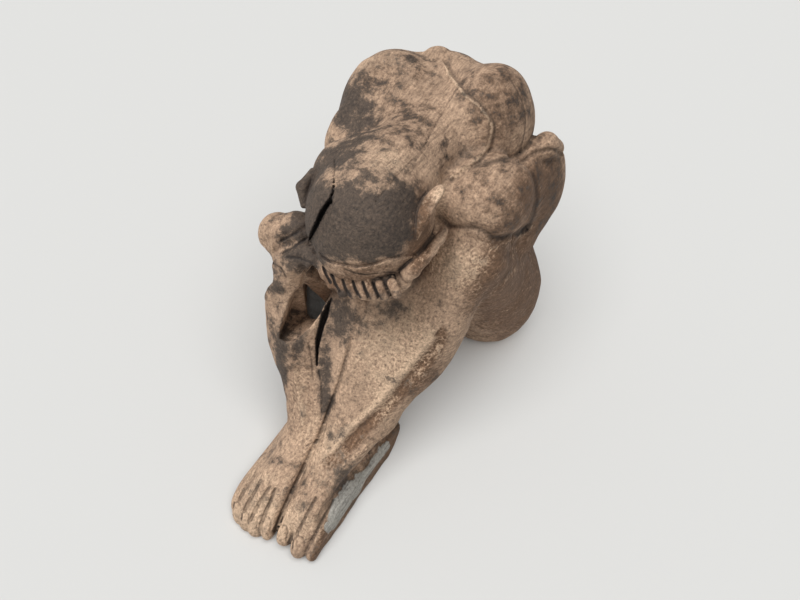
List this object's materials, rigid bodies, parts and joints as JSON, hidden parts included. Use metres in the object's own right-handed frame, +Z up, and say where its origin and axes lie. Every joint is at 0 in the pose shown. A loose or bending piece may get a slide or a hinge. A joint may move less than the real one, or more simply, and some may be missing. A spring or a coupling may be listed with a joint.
{
  "type": "carved seated praying figure",
  "caption": "Weathered hardwood carving of a seated figure with drawn-up knees, head bowed onto folded hands and feet forward, resting on seat and soles.",
  "frame": {"origin": "middle of the bounding box, at the height of the flat seat and soles on the floor", "axes": "the figure faces -Y with its feet forward, +X is the figure's left side, +Z is up"},
  "size_m": [0.2888, 0.5936, 0.4537],
  "materials": {
    "weathered_wood": "weathered, dry and matt hardwood with a blotched grey-brown patina"
  },
  "bodies": {
    "root": {"praying_figure": "weathered_wood"}
  },
  "joints": []
}
